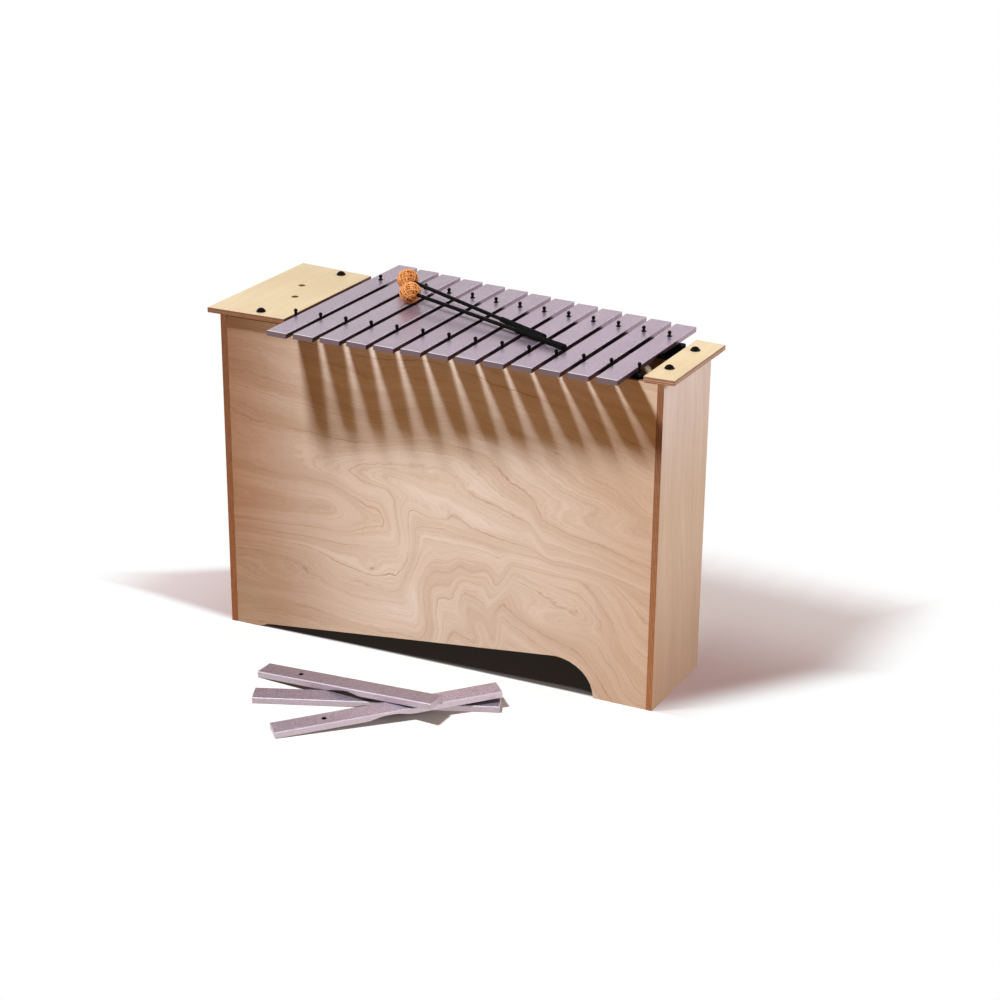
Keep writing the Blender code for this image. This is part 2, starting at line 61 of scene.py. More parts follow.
# Resonator box: end panels, front and back panels, the sloping chamber floor, dividers and cleat,
# all clear-varnished birch plywood, glued. The peeled veneer of its faces shows flowing contour
# lines, and the sawn edges show its layers. Light and shade are also painted into the colour of
# the front and end panels and their edges.
class Link:
    """A socket of a node tree. Arithmetic on it adds Math nodes."""

    def __init__(self, recipe, socket):
        self.recipe = recipe
        self.socket = socket

    def maths(self, operation, *others):
        inputs = dict(enumerate((self, *others)))
        return self.recipe.add("Math", {"operation": operation}, inputs)

    def __add__(self, other):
        return self.maths("ADD", other)

    def __radd__(self, other):
        return self.maths("ADD", other)

    def __sub__(self, other):
        return self.maths("SUBTRACT", other)

    def __rsub__(self, other):
        return self.recipe.add("Math", {"operation": "SUBTRACT"}, {0: other, 1: self})

    def __mul__(self, other):
        return self.maths("MULTIPLY", other)

    def __rmul__(self, other):
        return self.maths("MULTIPLY", other)

    def __truediv__(self, other):
        return self.maths("DIVIDE", other)

    def __pow__(self, other):
        return self.maths("POWER", other)

    def __neg__(self):
        return self.maths("MULTIPLY", -1.0)

    def size(self):
        return self.maths("ABSOLUTE")

    def whole(self):
        return self.maths("FLOOR")

    def part(self):
        return self.maths("FRACT")

    def exp(self):
        return self.maths("EXPONENT")

    def least(self, other):
        return self.maths("MINIMUM", other)

    def most(self, other):
        return self.maths("MAXIMUM", other)

    def rise(self, low, high):
        """0 below low, 1 above high, and smooth between them. With low above high it falls."""
        return self.recipe.add(
            "MapRange",
            {"interpolation_type": "SMOOTHSTEP"},
            {"Value": self, "From Min": low, "From Max": high},
        )


class Recipe:
    """A node tree written as expressions."""

    def __init__(self, tree):
        self.tree = tree

    def add(self, kind, settings=None, inputs=None, output=0):
        node = self.tree.nodes.new("ShaderNode" + kind)
        for key, value in (settings or {}).items():
            setattr(node, key, value)
        for key, value in (inputs or {}).items():
            if isinstance(value, Link):
                self.tree.links.new(value.socket, node.inputs[key])
            else:
                node.inputs[key].default_value = value
        return Link(self, node.outputs[output]) if node.outputs else None

    def split(self, vector):
        first = self.add("SeparateXYZ", inputs={0: vector})
        outputs = first.socket.node.outputs
        return [Link(self, outputs[i]) for i in range(3)]

    def point(self, x, y, z):
        return self.add("CombineXYZ", inputs={"X": x, "Y": y, "Z": z})

    def noise(self, x, y, z, detail=3.0, roughness=0.5):
        """Smooth noise around 0.5; x, y and z are the place times how often it changes per metre."""
        return self.add(
            "TexNoise",
            inputs={"Vector": self.point(x, y, z), "Scale": 1.0, "Detail": detail, "Roughness": roughness},
        )

    def chance(self, number):
        """A random value from 0 to 1 that belongs to a number."""
        return self.add("TexWhiteNoise", {"noise_dimensions": "1D"}, {"W": number})

    def blend(self, share, first, second):
        return self.add(
            "Mix",
            {"data_type": "RGBA"},
            {0: share, 6: first if isinstance(first, Link) else (*first, 1),
             7: second if isinstance(second, Link) else (*second, 1)},
            output=2,
        )

    def tinted(self, colour, share, tint):
        """A colour multiplied by a tint, by a share."""
        return self.add(
            "Mix",
            {"data_type": "RGBA", "blend_type": "MULTIPLY"},
            {0: share, 6: colour, 7: (*tint, 1)},
            output=2,
        )


class Finish(Recipe):
    """A material whose pattern lies on the piece's own place in the object."""

    def __init__(self, name, roughness, metallic=0.0, specular=0.5):
        self.material = bpy.data.materials.new(name)
        self.material.use_nodes = True
        super().__init__(self.material.node_tree)
        self.shader = self.tree.nodes["Principled BSDF"]
        self.shader.inputs["Roughness"].default_value = roughness
        self.shader.inputs["Metallic"].default_value = metallic
        self.shader.inputs["Specular IOR Level"].default_value = specular
        self.place = self.add("TexCoord", output="Object")
        self.x, self.y, self.z = self.split(self.place)
        self.facing = self.split(self.add("TexCoord", output="Normal"))

    def set(self, socket, value):
        target = self.shader.inputs[socket]
        if isinstance(value, Link):
            self.tree.links.new(value.socket, target)
        else:
            target.default_value = value

    def bump(self, height, distance, strength=1.0):
        made = self.add("Bump", inputs={"Height": height, "Distance": distance, "Strength": strength})
        self.set("Normal", made)


def dress(finish, *names):
    """Gives CAD nodes a finish."""
    for name in names:
        mesh = nodes[name].data
        mesh.materials.clear()
        mesh.materials.append(finish.material)


def hill(along, across, middle, reach, lean=0.0):
    """A round swelling in the log, 1 at its middle, which bends the grain around itself."""
    beside, above = along - middle[0], across - middle[1]
    flat, steep = beside / reach[0], (above - beside * lean) / reach[1]
    return (-(flat * flat + steep * steep)).exp()


def swelling(wood, along, across, seed, strength):
    """The log's uneven growth: broad sways, ripples and small jags, in metres."""
    sway = wood.noise(along * 3.4, across * 6.4, seed, 1.5, 0.5) - 0.5
    ripple = wood.noise(along * 15.0, across * 30.0, seed + 4.3, 2.0, 0.55) - 0.5
    jag = wood.noise(along * 75.0, across * 120.0, seed + 9.1, 2.0, 0.6) - 0.5
    return sway * (0.30 * strength) + ripple * (0.044 * strength) + jag * 0.0072


def veneer(wood, growth, along, across, seed, pale, line_tint, spacing, contrast):
    """Peeled veneer: fine brown lines where it cuts each year's ring, with paler streams between them."""
    rings = growth / spacing
    weight = wood.chance(rings.whole() + seed)
    fade = wood.noise(along * 9.0, across * 22.0, seed + 2.2, 2.0).rise(0.34, 0.62)
    line = ((1.0 - rings.part()) ** 14.0) * (0.15 + weight * weight) * (0.25 + fade * 0.75)
    close = ((rings * 3.7 + 0.37).part() - 0.5).size().rise(0.18, 0.50) * (0.30 + fade * 0.70)
    finest = ((rings * 8.3 + 0.11).part() - 0.5).size().rise(0.10, 0.50) * (1.0 - fade * 0.6)
    stream = wood.noise(rings * 0.9, along * 1.6, seed + 5.5, 2.0, 0.6).rise(0.30, 0.70)
    gleam = wood.noise(rings * 1.5, along * 4.0, across * 7.0 + seed, 3.0, 0.6).rise(0.44, 0.66)
    hair = wood.noise(along * 60.0, across * 1500.0, seed + 7.1, 2.0, 0.6)
    fleck = wood.noise(along * 160.0, across * 900.0, seed + 8.4, 1.0).rise(0.60, 0.74)
    cloud = wood.noise(along * 2.6, across * 4.5, seed + 6.6, 2.0).rise(0.3, 0.7)
    shade = (stream * (0.62 * contrast) + cloud * (0.30 * contrast)).least(1.3)
    colour = wood.tinted(pale, shade, (0.87, 0.81, 0.75))
    colour = wood.tinted(colour, (line * contrast).least(1.0), line_tint)
    colour = wood.tinted(colour, (close * (0.15 * contrast)).least(1.0), line_tint)
    colour = wood.tinted(colour, (finest * (0.07 * contrast)).least(1.0), line_tint)
    colour = wood.tinted(colour, (gleam * (0.85 * contrast)).least(1.0), (1.08, 1.11, 1.15))
    colour = wood.tinted(colour, hair.rise(0.3, 0.8) * 0.35, (0.93, 0.90, 0.87))
    colour = wood.tinted(colour, fleck * 0.5, (0.90, 0.84, 0.78))
    wood.set("Roughness", 0.40 + hair * 0.14)
    wood.bump(hair * 0.5 - line * 0.5, 0.00010, 0.5)
    return colour


def sawn(wood, depth, low, high, plies, pale, dark):
    """The sawn edge of a sheet: plies that run along it, between plies that show their ends."""
    layer = (depth - low) * (plies / (high - low))
    odd = (layer.whole() * 0.5).part() * 2.0
    glue = (layer.part() - 0.5).size().rise(0.36, 0.47)
    grit = wood.noise(wood.x * 700.0, wood.y * 700.0, wood.z * 700.0, 2.0, 0.6)
    streak = wood.noise(wood.x * 90.0, wood.y * 90.0, wood.z * 90.0, 2.0)
    colour = wood.blend(odd * 0.75 + grit * 0.25, pale, dark)
    colour = wood.tinted(colour, streak.rise(0.3, 0.7) * 0.5, (0.80, 0.72, 0.68))
    return wood.tinted(colour, glue, (0.45, 0.36, 0.32))


RING_LINE = (0.66, 0.50, 0.38)
EDGE_PALE = (0.30, 0.14, 0.075)
EDGE_DARK = (0.17, 0.075, 0.040)
TAPER = 0.1174 / 2
front_wood = Finish("birch_front", 0.44, specular=0.1)
x, z = front_wood.x, front_wood.z
waver = ((z - 0.10) * 42.0).maths("SINE") * 0.008
edge = (x + 0.060 - (0.25 - z) * 0.30 + waver).rise(0.050, -0.040) * (z - (x + 0.06) * 0.15).rise(0.375, 0.270) * 0.120
reach = x.rise(-0.13, -0.50) * 0.075 + (x + waver).rise(-0.105, -0.215) * 0.060
axis = (z - 0.287 - (x + 0.12) * 0.02) / 0.068
tongue = reach * (-(axis * axis)).exp()
foot = x.rise(-0.16, -0.30) * hill(x * 0.0, z, (0.0, 0.165), (1.0, 0.030)) * 0.030
foot = foot + (-0.10 - x).most(0.0) * z.rise(0.17, 0.12) * 0.05
knot = hill(x, z, (-0.127, 0.172), (0.020, 0.013)) * 0.030
notch = hill(x, z, (-0.050, 0.343), (0.050, 0.014), -0.2) * 0.020
nose = hill(x, z, (-0.005, 0.306), (0.036, 0.013), -0.2) * 0.018
kink = (x + (z - 0.30) * 0.3 + waver * 0.7).rise(0.195, 0.225) * z.rise(0.37, 0.33) * z.rise(0.22, 0.26) * 0.026
arch = (x - (z - 0.13) * 0.1 + waver).rise(0.115, 0.150) * x.rise(0.42, 0.28) * z.rise(0.262, 0.215) * 0.080
dip = (x + waver * 1.2 - (0.2 - z) * 0.35).rise(0.02, 0.06) * x.rise(0.14, 0.10) * z.rise(0.25, 0.20) * 0.038
loop = hill(x, z, (0.253, 0.133), (0.072, 0.022), -0.12) * 0.046
block = hill(x, z, (0.078, 0.200), (0.024, 0.018)) * 0.024
growth = z * 0.80 + (x - 0.03).most(0.0) * 0.22 + edge + tongue + knot + nose + kink + loop + block
growth = growth - foot - notch - arch - dip + swelling(front_wood, x, z, 2.7, 0.32) + 0.008
# Painted light: the face is painted darker and redder towards the long bars' end and a little darker towards the short
# bars' end, darker at its upper left and paler at its lower left.
tone = front_wood.blend(x.rise(-0.475, -0.055), (0.440, 0.215, 0.114), (0.945, 0.738, 0.608))
tone = front_wood.blend(x.rise(0.10, 0.50), tone, (0.850, 0.580, 0.420))
tone = front_wood.tinted(tone, z.rise(0.25, 0.60) * x.rise(-0.20, -0.42), (0.78, 0.76, 0.74))
tone = front_wood.tinted(tone, z.rise(0.25, 0.05) * x.rise(-0.30, -0.42), (1.14, 1.36, 1.50))
front_face = veneer(front_wood, growth, x, z, 3.0, tone, RING_LINE, 0.0215, 1.2)
# Painted shadow: a dark band just below the left top board's front edge, as if cast by the board.
low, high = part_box("left_top_board")
painted_board_shadow = z.rise(low.z - 0.027, low.z - 0.019) * x.rise(high.x + 0.006, high.x - 0.006)
front_face = front_wood.tinted(front_face, painted_board_shadow, (0.60, 0.52, 0.43))
heart = hill(x, z, (-0.1225, 0.1675), (0.0045, 0.0032), 0.3)
front_face = front_wood.tinted(front_face, heart * 0.7, (0.62, 0.42, 0.28))
front_cut = sawn(front_wood, front_wood.y - x * TAPER, -0.30, 0.30, 420, EDGE_PALE, EDGE_DARK)
flat = front_wood.facing[1].size().rise(0.6, 0.9)
front_wood.set("Base Color", front_wood.blend(flat, front_cut, front_face))
dress(front_wood, "front_panel")

back_wood = Finish("birch_back", 0.44, specular=0.2)
x, z = back_wood.x, back_wood.z
growth = z - x * 0.22 + hill(x, z, (0.12, 0.30), (0.22, 0.08), -0.1) * 0.13 + swelling(back_wood, x, z, 31.0, 0.7)
tone = back_wood.blend(x.rise(-0.5, 0.5), (0.70, 0.475, 0.330), (0.770, 0.555, 0.415))
back_face = veneer(back_wood, growth, x, z, 33.0, tone, RING_LINE, 0.0215, 1.2)
back_cut = sawn(back_wood, back_wood.y + x * TAPER, -0.30, 0.30, 420, EDGE_PALE, EDGE_DARK)
flat = back_wood.facing[1].size().rise(0.6, 0.9)
back_wood.set("Base Color", back_wood.blend(flat, back_cut, back_face))
dress(back_wood, "back_panel")

# The last value for each side is painted light on the sawn front edge: darker and redder at the left end, paler at the
# right end.
for side, seed, edge in (("left", 12.0, (0.95, 0.80, 0.66)), ("right", 17.0, (1.38, 1.36, 1.30))):
    low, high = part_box(f"{side}_end_panel")
    end_wood = Finish(f"birch_{side}_end", 0.44, specular=0.2)
    y, z = end_wood.y, end_wood.z
    growth = y + z * 0.05 + swelling(end_wood, z * 0.7, y, seed, 0.25)
    # Painted light: each end panel's face is painted paler towards the top and darker and redder towards its foot.
    tone = end_wood.blend(z.rise(-0.05, 0.34), (0.480, 0.268, 0.150), (0.735, 0.528, 0.375))
    tone = end_wood.blend(z.rise(0.34, 0.66), tone, (0.870, 0.705, 0.615))
    end_face = veneer(end_wood, growth, z, y, seed, tone, RING_LINE, 0.016, 0.65)
    # Painted shade: the inner face, inside the box, is painted darker and redder.
    inward = end_wood.facing[0] if side == "left" else -end_wood.facing[0]
    end_face = end_wood.tinted(end_face, inward.rise(0.6, 0.9), (0.72, 0.46, 0.32))
    end_cut = sawn(end_wood, end_wood.x, low.x, high.x, 9, (0.40, 0.185, 0.100), (0.21, 0.085, 0.042))
    # Painted light on the sawn front edge: darker towards the top and paler towards the foot.
    end_cut = end_wood.tinted(end_cut, z.rise(0.30, 0.60), (0.86, 0.84, 0.80))
    end_cut = end_wood.tinted(end_cut, z.rise(0.50, 0.0), (1.32, 1.24, 1.12))
    end_cut = end_wood.tinted(end_cut, 1.0, edge)
    flat = end_wood.facing[0].size().rise(0.6, 0.9)
    end_wood.set("Base Color", end_wood.blend(flat, end_cut, end_face))
    dress(end_wood, f"{side}_end_panel")

inner_wood = Finish("birch_inside", 0.6, specular=0.2)
y, z = inner_wood.y, inner_wood.z
growth = z + y * 0.2 + swelling(inner_wood, y, z, 51.0, 0.6)
tone = inner_wood.blend(z.rise(0.0, 0.6), (0.44, 0.24, 0.125), (0.50, 0.285, 0.155))
inner_wood.set("Base Color", veneer(inner_wood, growth, y, z, 52.0, tone, RING_LINE, 0.020, 0.8))
dress(inner_wood, "chamber_divider_1", "chamber_divider_2", "chamber_divider_3", "right_cleat")
deck_wood = Finish("birch_chamber_floor", 0.6, specular=0.2)
x, y = deck_wood.x, deck_wood.y
growth = y + x * 0.1 + swelling(deck_wood, x, y, 61.0, 0.6)
tone = deck_wood.blend(x.rise(-0.4, 0.4), (0.56, 0.38, 0.24), (0.62, 0.43, 0.29))
deck_wood.set("Base Color", veneer(deck_wood, growth, x, y, 62.0, tone, RING_LINE, 0.020, 0.8))
dress(deck_wood, "chamber_floor")


# Top boards: pale golden plywood under a thicker varnish, a wide board at the long bars' end and a
# narrow one at the short bars' end, screwed down through black dome-headed screws.
# Painted light: the right board is painted brighter, and its sawn edges much paler and cooler, than the left one.
for end, seed, level, edge in (("left", 71.0, 1.0, (1.0, 1.0, 1.0)), ("right", 77.0, 1.22, (1.98, 2.45, 3.15))):
    low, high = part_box(f"{end}_top_board")
    board = Finish(f"pale_birch_{end}", 0.36, specular=0.3)
    x, y, z = board.x, board.y, board.z
    growth = x + y * 0.10 + swelling(board, y, x, seed, 0.30)
    tone = board.noise(y * 7.0, x * 16.0, seed, 2.0).rise(0.3, 0.7)
    gold = board.blend(tone, (0.468, 0.335, 0.196), (0.441, 0.308, 0.176))
    gold = board.tinted(gold, 1.0, (level, level, level))
    board_face = veneer(board, growth, y, x, seed + 1.0, gold, (0.78, 0.66, 0.52), 0.017, 0.45)
    pale = [share * part for share, part in zip((0.37, 0.162, 0.080), edge)]
    dark = [share * part ** 0.4 for share, part in zip((0.22, 0.090, 0.044), edge)]
    board_cut = sawn(board, z, low.z, high.z, 5, pale, dark)
    # Painted light: sawn edges that face sideways are painted paler and cooler.
    board_cut = board.tinted(board_cut, board.facing[0].size().rise(0.6, 0.9), (1.08, 1.22, 1.35))
    rim = z.rise(high.z - 0.0020, high.z - 0.0010)
    board_cut = board.tinted(board_cut, rim, (0.42, 0.32, 0.26))
    flat = board.facing[2].size().rise(0.75, 0.95)
    board.set("Base Color", board.blend(flat, board_cut, board_face))
    dress(board, f"{end}_top_board")
screw_black = Finish("screw_black", 0.2, specular=0.035)
scuff = screw_black.noise(screw_black.x * 900, screw_black.y * 900, screw_black.z * 900)
screw_black.set("Base Color", screw_black.blend(scuff.rise(0.5, 0.8), (0.0035, 0.0020, 0.0014), (0.009, 0.005, 0.004)))
screw_black.set("Roughness", 0.10 + scuff * 0.08)
for end in ("left", "right"):
    dress(screw_black, f"{end}_board_screw_front", f"{end}_board_screw_back")


# Rails: matt black moulded rails along the tops of the long panels. The front one carries the pins
# that stand between the bars.
rail_black = Finish("rail_black", 0.55, specular=0.02)
grain = rail_black.noise(rail_black.x * 1400, rail_black.y * 1400, rail_black.z * 1400, 2.0)
rail_black.set("Base Color", rail_black.blend(grain.rise(0.4, 0.7), (0.003, 0.0026, 0.0025), (0.007, 0.006, 0.006)))
rail_black.set("Roughness", 0.42 + grain * 0.2)
rail_black.bump(grain, 0.00005, 0.5)
dress(rail_black, "front_rail", "rear_rail")


# Cushions: dull black felt strips on the rails, pierced by the pins. The bars press them flat, and
# they swell a little in the gaps between.
felt = Finish("cushion_felt", 0.95, specular=0.01)
fuzz = felt.noise(felt.x * 1300, felt.y * 1300, felt.z * 1300, 4.0, 0.7)
lint = felt.noise(felt.x * 260, felt.y * 260, felt.z * 420, 3.0, 0.7).rise(0.55, 0.75)
felt_black = felt.blend(fuzz.rise(0.35, 0.7), (0.006, 0.006, 0.006), (0.022, 0.021, 0.021))
felt.set("Base Color", felt.blend(lint * 0.5, felt_black, (0.035, 0.033, 0.033)))
felt.bump(fuzz, 0.0004, 0.8)
FELT_CELL = 0.0009
FELT_SWELL = 0.0006
bar_sides = [(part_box(f"tone_bar_{number:02d}")[0].x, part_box(f"tone_bar_{number:02d}")[1].x) for number in range(1, 14)]
for name in ("front_cushion", "rear_cushion"):
    bpy.ops.object.select_all(action="DESELECT")
    strip = nodes[name].copy()
    strip.data = nodes[name].data.copy()
    strip.name = strip.data.name = f"{name}_felt"
    scene.collection.objects.link(strip)
    strip.hide_render = False
    bpy.context.view_layer.objects.active = strip
    strip.select_set(True)
    bpy.ops.object.mode_set(mode="EDIT")
    bpy.ops.mesh.select_all(action="SELECT")
    bpy.ops.mesh.remove_doubles(threshold=0.00001)
    bpy.ops.object.mode_set(mode="OBJECT")
    cells = strip.modifiers.new("cells", "REMESH")
    cells.mode = "VOXEL"
    cells.voxel_size = FELT_CELL
    bpy.ops.object.modifier_apply(modifier="cells")
    bpy.ops.object.mode_set(mode="EDIT")
    bpy.ops.mesh.select_all(action="SELECT")
    bpy.ops.mesh.vertices_smooth(factor=0.5, repeat=3)
    bpy.ops.object.mode_set(mode="OBJECT")
    low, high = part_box(name)
    for vertex in strip.data.vertices:
        place = vertex.co
        free = 0.0
        for (_, left), (right, _) in zip([(0, low.x)] + bar_sides, bar_sides + [(high.x, 0)]):
            if left < place.x < right:
                free = math.sin(math.pi * (place.x - left) / (right - left))
        share = (place.z - low.z) / (high.z - low.z)
        place.z = min(place.z, high.z - 0.0001) + FELT_SWELL * free * max(share, 0) ** 3
    strip.data.materials.clear()
    strip.data.materials.append(felt.material)
    bpy.ops.object.shade_smooth()
    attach(strip, "box")
    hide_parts(name)


# Rear pins: black rubber-sleeved pins through a hole in each bar, with a flared collar on the bar
# and a round head.
pin_black = Finish("pin_black", 0.4, specular=0.025)
wear = pin_black.noise(pin_black.x * 700, pin_black.y * 700, pin_black.z * 700)
pin_black.set("Base Color", pin_black.blend(wear.rise(0.4, 0.7), (0.002, 0.0017, 0.0017), (0.006, 0.005, 0.005)))
pin_black.set("Roughness", 0.30 + wear * 0.18)
dress(pin_black, *(f"rear_pin_{number:02d}" for number in range(1, 14)))


# Tone bars: flat alloy bars, bead-blasted and anodised in a satin lilac grey. Their eased edges and
# the top edges of their ends carry painted highlights, the bars towards the short end are painted
# lighter, and their end faces and sides carry painted shade, darkest in the narrow gaps between them.
LILAC = (0.308, 0.224, 0.262)
LILAC_PALE = (0.430, 0.325, 0.375)
EDGE_HIGHLIGHT = (0.520, 0.430, 0.470)
END_SHADE = (0.125, 0.070, 0.064)


def anodised(metal, along, across):
    """The satin face: fine bright and dark beads, faint draw lines and soft clouds."""
    bead = metal.noise(metal.x * 640, metal.y * 640, metal.z * 640, 1.0, 0.6)
    draw = metal.noise(along * 7.0, across * 650.0, metal.z * 7.0, 2.0, 0.6)
    cloud = metal.noise(along * 8.0, across * 14.0, 4.0, 2.0).rise(0.3, 0.7)
    face = metal.blend(cloud * 0.25 + bead.rise(0.42, 0.62) * 0.75, LILAC, LILAC_PALE)
    face = metal.tinted(face, bead.rise(0.49, 0.37), (0.50, 0.47, 0.49))
    face = metal.tinted(face, draw.rise(0.3, 0.7) * 0.18, (0.88, 0.86, 0.88))
    metal.set("Roughness", 0.26 + bead * 0.14)
    metal.bump(bead + draw * 0.3, 0.00004, 0.6)
    return face


row_metal = Finish("bar_metal", 0.42, 0.74)
boxes = [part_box(f"tone_bar_{number:02d}") for number in (1, 7, 13)]
middle_y = (boxes[0][0].y + boxes[0][1].y) / 2
pitch = (boxes[2][0].x - boxes[0][0].x) / 12
width = boxes[0][1].x - boxes[0][0].x
half_1, half_7, half_13 = ((high.y - low.y) / 2 for low, high in boxes)
bend = (half_13 - 2 * half_7 + half_1) / 72
count = ((row_metal.x - boxes[0][0].x + (pitch - width) / 2) / pitch).whole()
half = half_1 + count * ((half_13 - half_1) / 12 - 12 * bend) + count * count * bend
from_end = half - (row_metal.y - middle_y).size()
metal_face = anodised(row_metal, row_metal.y, row_metal.x)
# Painted light: bars towards the short end are painted lighter.
metal_face = row_metal.tinted(metal_face, row_metal.x.rise(-0.15, 0.30), (1.16, 1.13, 1.16))
up = row_metal.facing[2]
chamfer = up.rise(0.45, 0.65) * up.rise(0.95, 0.85)
# Painted highlight: a white line along the top edge of each bar's end.
painted_end_highlight = up.rise(0.85, 0.95) * from_end.rise(0.0020, 0.0013)
# Painted highlight: the eased long edges are painted brighter.
metal_face = row_metal.blend(chamfer * 0.4, metal_face, EDGE_HIGHLIGHT)
metal_face = row_metal.blend(painted_end_highlight, metal_face, (1.0, 0.97, 1.0))
# Painted shade: the sides are painted a little darker, and where they stand over the box, in the narrow gaps, much
# darker.
sides = row_metal.facing[0].size().rise(0.8, 0.95)
metal_face = row_metal.tinted(metal_face, sides, (0.92, 0.88, 0.90))
low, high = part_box("rear_rail")
behind_rail = row_metal.y + row_metal.x * TAPER - (low.y + high.y) / 2
painted_gap_shade = behind_rail.rise(0.005, -0.015)
metal_face = row_metal.tinted(metal_face, sides * painted_gap_shade, (0.22, 0.17, 0.18))
# Painted shade: the end faces are painted dark, broken by grit.
bar_end = row_metal.facing[1].size().rise(0.8, 0.95)
end_grit = row_metal.noise(row_metal.x * 900, 3.0, row_metal.z * 300, 2.0)
end_metal_in_shade = row_metal.blend(end_grit * 0.6, END_SHADE, LILAC)
row_metal.set("Base Color", row_metal.blend(bar_end, metal_face, end_metal_in_shade))
row_metal.set("Roughness", 0.31 + chamfer * 0.35)
dress(row_metal, *(f"tone_bar_{number:02d}" for number in range(1, 14)))


# Spare bars: the same alloy, cut for other notes and laid across one another on the floor. Their tops, sides,
# undersides, edges and hole walls carry painted light and shade.
# Each spare's level is painted light: it makes the top lighter or darker, and the middle spare's sides lighter too.
for name, degrees, level in (("bottom", 24.4, 0.94), ("middle", 45.6, 1.24), ("top", -1.4, 0.90)):
    c, s = math.cos(math.radians(degrees)), math.sin(math.radians(degrees))
    spare = Finish(f"bar_metal_{name}", 0.42, 0.74)
    along, across = spare.x * c + spare.y * s, spare.y * c - spare.x * s
    spare_face = anodised(spare, along, across)
    up = spare.facing[2]
    chamfer = up.rise(0.45, 0.65) * up.rise(0.95, 0.85)
    spare_face = spare.tinted(spare_face, up.rise(0.9, 0.98), (level, level * 1.03, level))
    # Painted shade: the middle spare's top is painted darker towards its left end.
    if name == "middle":
        spare_face = spare.tinted(spare_face, along.rise(0.0, -0.6), (0.72, 0.74, 0.74))
    # Painted shade: the undersides are painted dark.
    spare_face = spare.tinted(spare_face, up.rise(-0.2, -0.6), (0.22, 0.18, 0.19))
    # Painted light: the sides are painted paler and lighter than the tops.
    sides = up.size().rise(0.4, 0.2)
    spare_face = spare.blend(sides * 0.6, spare_face, LILAC_PALE)
    spare_face = spare.tinted(spare_face, sides, [part * max(level, 1.0) for part in (1.42, 1.56, 1.46)])
    # Painted highlight: the eased edges are painted brighter.
    spare_face = spare.blend(chamfer * 0.55, spare_face, EDGE_HIGHLIGHT)
    low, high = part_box(f"spare_bar_{name}")
    middle = (low + high) / 2
    from_axis = (across - (middle.y * c - middle.x * s)).size()
    from_middle = (along - (middle.x * c + middle.y * s)).size()
    # Painted shade: the walls of the pin hole are painted near black.
    hole = sides * from_axis.rise(0.009, 0.007) * from_middle.rise(0.165, 0.150)
    spare.set("Base Color", spare.tinted(spare_face, hole, (0.04, 0.03, 0.03)))
    spare.set("Roughness", 0.38 + chamfer * 0.35)
    dress(spare, f"spare_bar_{name}")


# Mallets: a core ball wound with orange-tan yarn in crossing bundles, on a smooth black rod with a
# dull black grip that thickens towards its end. The yarn carries painted shade in its gaps and
# painted highlights on its outer strands.
STRAND = 0.0012
random.seed(11)
for name in ("front_mallet", "rear_mallet"):
    low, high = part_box(f"{name}_head")
    radius = (high.z - low.z) / 2
    centre = Vector((low.x + radius, high.y - radius, low.z + radius))
    yarn = Finish(f"yarn_{name}", 0.95, specular=0.02)
    inward = yarn.split(yarn.add("Mapping", inputs={"Vector": yarn.place, "Location": -centre}))
    from_middle = (inward[0] * inward[0] + inward[1] * inward[1] + inward[2] * inward[2]) ** 0.5
    depth = from_middle.rise(radius - 0.0021, radius - 0.0003)
    twist = yarn.noise(yarn.x * 900, yarn.y * 900, yarn.z * 900, 3.0, 0.6)
    tone = yarn.noise(yarn.x * 140, yarn.y * 140, yarn.z * 140, 2.0).rise(0.3, 0.7)
    wound = yarn.blend(tone, (0.455, 0.135, 0.031), (0.650, 0.240, 0.071))
    # Painted shade: strands lower down the winding, in the gaps between the top strands, are painted darker.
    wound = yarn.blend(depth, (0.310, 0.088, 0.020), wound)
    # Painted highlight: the tops of the outer strands are painted paler.
    wound = yarn.blend(from_middle.rise(radius - 0.0009, radius) * 0.6, wound, (0.760, 0.370, 0.150))
    yarn.set("Base Color", yarn.tinted(wound, twist.rise(0.45, 0.7) * 0.5, (0.66, 0.52, 0.42)))
    yarn.bump(twist, 0.0005, 0.8)
    bpy.ops.object.select_all(action="DESELECT")
    bpy.ops.mesh.primitive_uv_sphere_add(segments=32, ring_count=20, radius=radius - 2.0 * STRAND, location=centre)
    ball = bpy.context.object
    bpy.ops.object.mode_set(mode="EDIT")
    lie = Euler((0.5, 0.3, 0.9) if name == "front_mallet" else (0.9, -0.4, 0.2)).to_matrix()
    for number in range(27):
        if number < 21:
            way = Vector([float(number % 3 == axis) for axis in range(3)])
            offset = (2 * (number // 3 + 0.5) / 7 - 1) * radius * 0.92 + random.uniform(-0.0005, 0.0005)
        else:
            way = Vector([random.gauss(0, 1) for _ in range(3)])
            offset = random.uniform(-0.5, 0.5) * radius
        level = radius - STRAND - random.uniform(0.0, 0.0008)
        way = way.normalized() + Vector([random.uniform(-0.12, 0.12) for _ in range(3)])
        normal = (lie @ way).normalized()
        bpy.ops.mesh.primitive_torus_add(
            location=centre + normal * offset,
            rotation=normal.to_track_quat("Z", "Y").to_euler(),
            major_radius=math.sqrt(level * level - offset * offset),
            minor_radius=STRAND,
            major_segments=40,
            minor_segments=8,
        )
    bpy.ops.object.mode_set(mode="OBJECT")
    bpy.ops.object.transform_apply(location=True, rotation=True, scale=True)
    bpy.ops.object.shade_smooth()
    ball.name = ball.data.name = f"{name}_yarn"
    ball.data.materials.append(yarn.material)
    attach(ball, name)
    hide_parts(f"{name}_head")
rod_black = Finish("mallet_rod", 0.28, specular=0.03)
streaks = rod_black.noise(rod_black.x * 60, rod_black.y * 900, rod_black.z * 900)
rod_black.set("Base Color", rod_black.blend(streaks.rise(0.4, 0.7), (0.002, 0.0018, 0.0018), (0.006, 0.0052, 0.005)))
